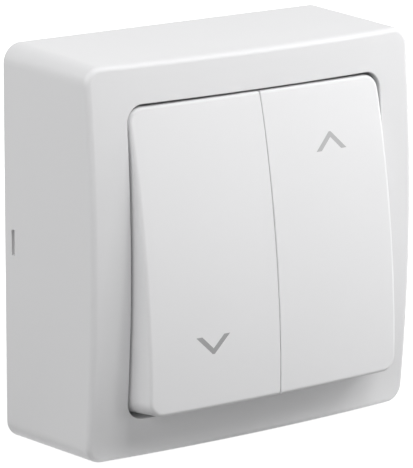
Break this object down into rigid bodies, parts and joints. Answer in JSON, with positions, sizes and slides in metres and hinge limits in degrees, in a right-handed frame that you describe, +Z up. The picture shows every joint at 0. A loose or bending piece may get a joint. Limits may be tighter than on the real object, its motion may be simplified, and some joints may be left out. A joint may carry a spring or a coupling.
{
  "type": "roller shutter switch",
  "caption": "Square white surface-mounted roller shutter switch with tall rockers side by side, marked with a grey down arrow and a grey up arrow.",
  "frame": {"origin": "centre of the back face, which lies on the wall", "axes": "+Y into the wall, +Z up, +X to the right as seen from the room"},
  "size_m": [0.08, 0.0373, 0.08],
  "materials": {
    "cover_plastic": "satin white ASA",
    "rocker_plastic": "satin white ASA",
    "arrow_grey": "grey inlay",
    "base_plastic": "white polycarbonate",
    "housing_plastic": "dark grey PBT",
    "frame_plastic": "light grey PBT",
    "tumbler_plastic": "natural white POM",
    "plunger_plastic": "natural white POM",
    "spring_steel": "drawn spring wire",
    "contact_copper": "copper alloy strip",
    "contact_silver": "silver alloy",
    "strip_brass": "stamped brass",
    "clamp_steel": "zinc-plated steel",
    "screw_steel": "zinc-plated steel"
  },
  "bodies": {
    "box": {"base_plate": "base_plastic", "cover": "cover_plastic", "down_clamp": "clamp_steel", "down_strip": "strip_brass", "down_terminal_screw": "screw_steel", "fixed_button_down": "contact_silver", "fixed_button_link": "contact_silver", "fixed_button_up": "contact_silver", "frame_screw_left": "screw_steel", "frame_screw_right": "screw_steel", "line_clamp": "clamp_steel", "line_strip": "strip_brass", "line_terminal_screw": "screw_steel", "link_strip": "strip_brass", "mechanism_frame": "frame_plastic", "mechanism_housing": "housing_plastic", "up_clamp": "clamp_steel", "up_strip": "strip_brass", "up_terminal_screw": "screw_steel"},
    "rocker_left": {"arrow_left": "arrow_grey", "plunger_left": "plunger_plastic", "rocker_cap_left": "rocker_plastic", "spring_left": "spring_steel", "tumbler_left": "tumbler_plastic"},
    "rocker_right": {"arrow_right": "arrow_grey", "plunger_right": "plunger_plastic", "rocker_cap_right": "rocker_plastic", "spring_right": "spring_steel", "tumbler_right": "tumbler_plastic"},
    "bar_left": {"bar_button_left_lower": "contact_silver", "bar_button_left_upper": "contact_silver", "contact_bar_left": "contact_copper"},
    "bar_right": {"bar_button_right_lower": "contact_silver", "contact_bar_right": "contact_copper"}
  },
  "joints": [
    {"name": "rocker_left_tilt", "type": "hinge", "parent": "box", "child": "rocker_left", "pos_m": [-0.0145, -0.0265, 0], "axis": [1, 0, 0], "range_deg": [0, 14]},
    {"name": "rocker_right_tilt", "type": "hinge", "parent": "box", "child": "rocker_right", "pos_m": [0.0145, -0.0265, 0], "axis": [1, 0, 0], "range_deg": [0, 14]},
    {"name": "bar_left_tilt", "type": "hinge", "parent": "box", "child": "bar_left", "pos_m": [-0.0145, -0.00876, 0], "axis": [1, 0, 0], "range_deg": [-14, 0]},
    {"name": "bar_right_tilt", "type": "hinge", "parent": "box", "child": "bar_right", "pos_m": [0.0145, -0.00876, 0], "axis": [1, 0, 0], "range_deg": [-14, 0]}
  ],
  "couplings": [
    {"joint": "bar_left_tilt", "follows": "rocker_left_tilt", "ratio": -1},
    {"joint": "bar_right_tilt", "follows": "rocker_right_tilt", "ratio": -1}
  ]
}
